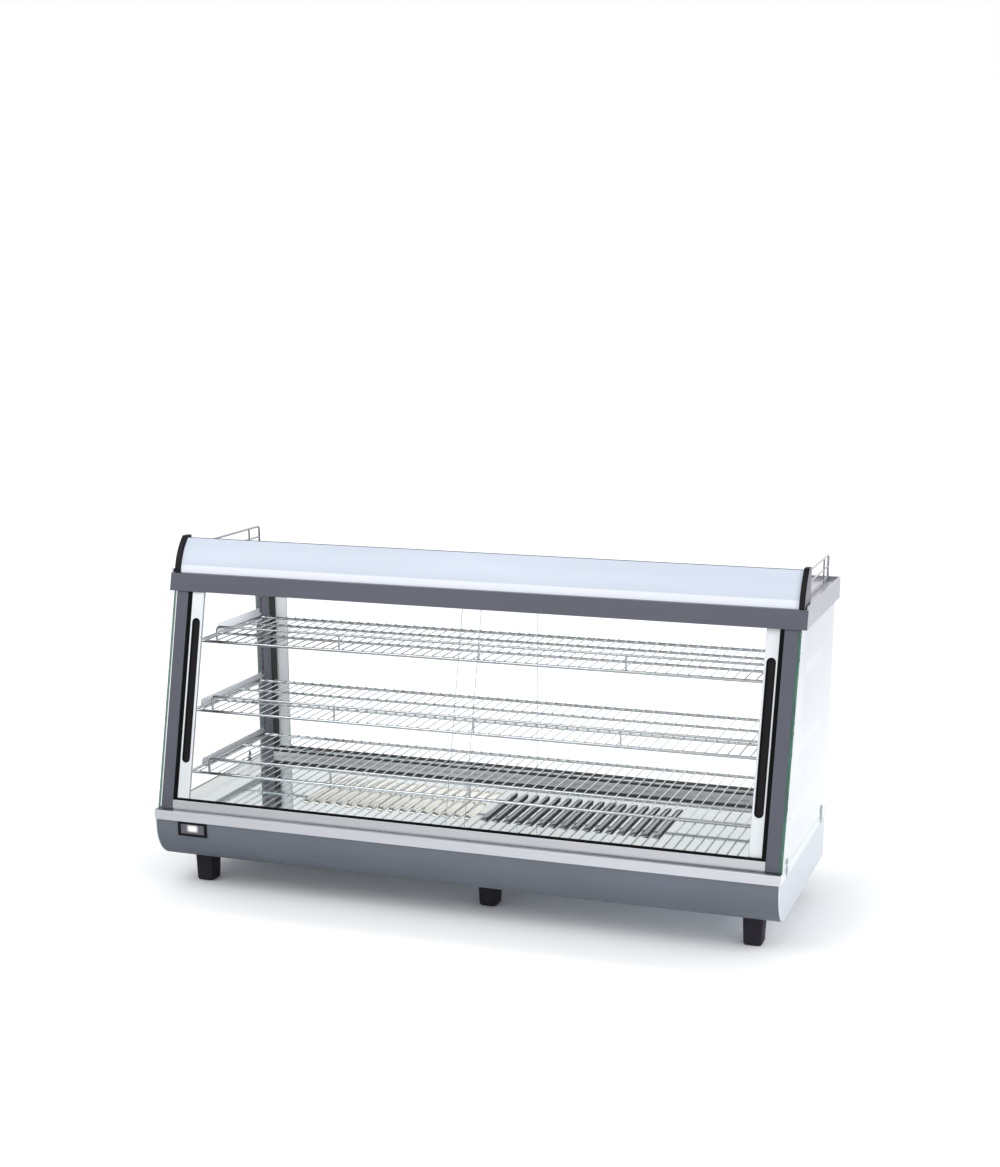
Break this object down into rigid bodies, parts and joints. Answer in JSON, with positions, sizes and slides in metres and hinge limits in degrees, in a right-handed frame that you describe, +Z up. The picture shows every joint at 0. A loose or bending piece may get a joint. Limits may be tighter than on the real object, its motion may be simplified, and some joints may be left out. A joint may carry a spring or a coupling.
{
  "type": "heated display case",
  "caption": "Countertop heated display case: curved base, louvred hot deck, wire shelves, leaning glass sliding doors, lit sign box and gallery rails.",
  "frame": {"origin": "counter level below the middle of the case", "axes": "+X along the case to the customer's right, +Y from the customers' side to the staff's side, +Z up"},
  "size_m": [1.216, 0.45, 0.6624],
  "materials": {
    "brushed_steel": "brushed stainless sheet",
    "base_steel": "satin stainless sheet",
    "grey_paint": "satin powder coat",
    "base_paint": "satin powder coat",
    "chrome": "chromed wire",
    "heater_steel": "oxidised tube",
    "aluminium": "satin anodised",
    "black_plastic": "matt moulded",
    "black_rubber": "matt moulded",
    "clear_glass": "polished float glass",
    "sign_acrylic": "opal acrylic",
    "lamp": "opal tube",
    "display": "tinted window"
  },
  "bodies": {
    "case": {"base_chassis": "base_steel", "base_side_plate_left": "base_steel", "base_side_plate_right": "base_steel", "base_front_panel": "base_paint", "top_tray": "brushed_steel", "deck_plate": "brushed_steel", "heating_element": "heater_steel", "foot_front_left": "black_rubber", "foot_front_right": "black_rubber", "foot_rear_left": "black_rubber", "foot_rear_right": "black_rubber", "foot_middle": "black_rubber", "front_post_left": "grey_paint", "front_post_right": "grey_paint", "rear_post_left": "grey_paint", "rear_post_right": "grey_paint", "cap_fascia": "grey_paint", "sign_back": "grey_paint", "side_glass_left": "clear_glass", "side_glass_right": "clear_glass", "front_track": "brushed_steel", "rear_track": "brushed_steel", "ceiling": "brushed_steel", "cap_cover": "brushed_steel", "front_seal": "black_plastic", "rear_seal": "black_plastic", "sign_end_cap_left": "black_plastic", "sign_end_cap_right": "black_plastic", "sign_panel": "sign_acrylic", "sign_lamp": "lamp", "gallery_rail_left": "chrome", "gallery_rail_right": "chrome", "shelf_lower": "chrome", "bracket_lower_left": "brushed_steel", "bracket_lower_right": "brushed_steel", "shelf_middle": "chrome", "bracket_middle_left": "brushed_steel", "bracket_middle_right": "brushed_steel", "shelf_upper": "chrome", "bracket_upper_left": "brushed_steel", "bracket_upper_right": "brushed_steel", "thermometer_bezel": "black_plastic", "switch_housing": "black_plastic", "cable_gland": "black_plastic", "thermometer_display": "display"},
    "front_door_left": {"front_door_left_glass": "clear_glass", "front_door_left_stile": "aluminium", "front_door_left_handle": "black_plastic"},
    "front_door_right": {"front_door_right_glass": "clear_glass", "front_door_right_stile": "aluminium", "front_door_right_handle": "black_plastic"},
    "rear_door_left": {"rear_door_left_glass": "clear_glass", "rear_door_left_stile": "aluminium", "rear_door_left_handle": "black_plastic"},
    "rear_door_right": {"rear_door_right_glass": "clear_glass", "rear_door_right_stile": "aluminium", "rear_door_right_handle": "black_plastic"},
    "thermostat_knob": {"thermostat_knob": "black_plastic"},
    "power_rocker": {"power_rocker": "black_plastic"}
  },
  "joints": [
    {"name": "front_door_left_slide", "type": "slide", "parent": "case", "child": "front_door_left", "axis": [1, 0, 0], "range_m": [0, 0.541]},
    {"name": "front_door_right_slide", "type": "slide", "parent": "case", "child": "front_door_right", "axis": [1, 0, 0], "range_m": [-0.541, 0]},
    {"name": "rear_door_left_slide", "type": "slide", "parent": "case", "child": "rear_door_left", "axis": [1, 0, 0], "range_m": [0, 0.531]},
    {"name": "rear_door_right_slide", "type": "slide", "parent": "case", "child": "rear_door_right", "axis": [1, 0, 0], "range_m": [-0.531, 0]},
    {"name": "thermostat_turn", "type": "hinge", "parent": "case", "child": "thermostat_knob", "pos_m": [-0.3, 0.1975, 0.098], "axis": [0, 1, 0], "range_deg": [0, 270]},
    {"name": "power_rock", "type": "hinge", "parent": "case", "child": "power_rocker", "pos_m": [-0.37, 0.1978, 0.098], "axis": [1, 0, 0], "range_deg": [-18, 0]}
  ]
}
